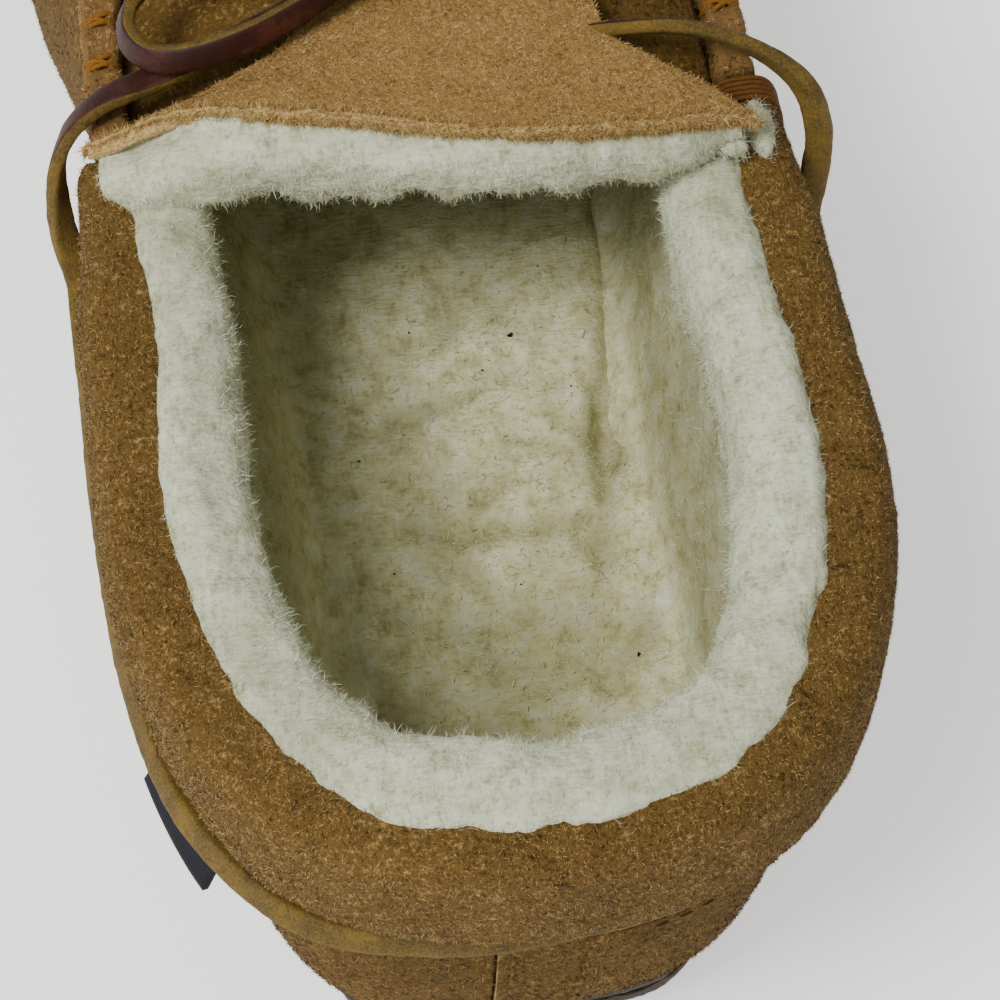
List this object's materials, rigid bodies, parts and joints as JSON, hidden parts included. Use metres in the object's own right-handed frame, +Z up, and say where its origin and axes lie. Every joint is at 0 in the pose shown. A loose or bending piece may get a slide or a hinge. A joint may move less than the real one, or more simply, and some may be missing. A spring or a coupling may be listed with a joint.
{
  "type": "moccasin slipper",
  "caption": "Left moccasin slipper: suede upper with raised toe seam, fan tongue, folded collar cuff, fleece footbed, rawhide lace with a bow, thin rubber sole.",
  "frame": {"origin": "on the floor, under the middle of the shoe's box without the bow", "axes": "+Y from the heel to the toe, +X to the inner side of the left foot, +Z up"},
  "size_m": [0.1066, 0.2848, 0.0781],
  "materials": {
    "suede": "napped tan suede",
    "cuff_suede": "coarse napped brown suede",
    "tongue_suede": "napped light tan suede",
    "rubber": "matt dark brown",
    "fleece": "cream wool pile",
    "rawhide": "smooth dark brown face, rough olive back and edges",
    "thread": "waxed amber thread",
    "tab_cloth": "plain navy woven tape"
  },
  "bodies": {
    "root": {"outsole": "rubber", "insole": "fleece", "upper": "suede", "plug": "suede", "plug_seam": "suede", "tongue": "tongue_suede", "collar_cuff": "cuff_suede", "counter_outer": "suede", "counter_inner": "suede", "backstay": "suede", "side_tab": "tab_cloth", "lace": "rawhide", "lace_knot": "rawhide", "lace_loop_left": "rawhide", "lace_loop_right": "rawhide", "lace_end_left": "rawhide", "lace_end_right": "rawhide"}
  },
  "joints": []
}
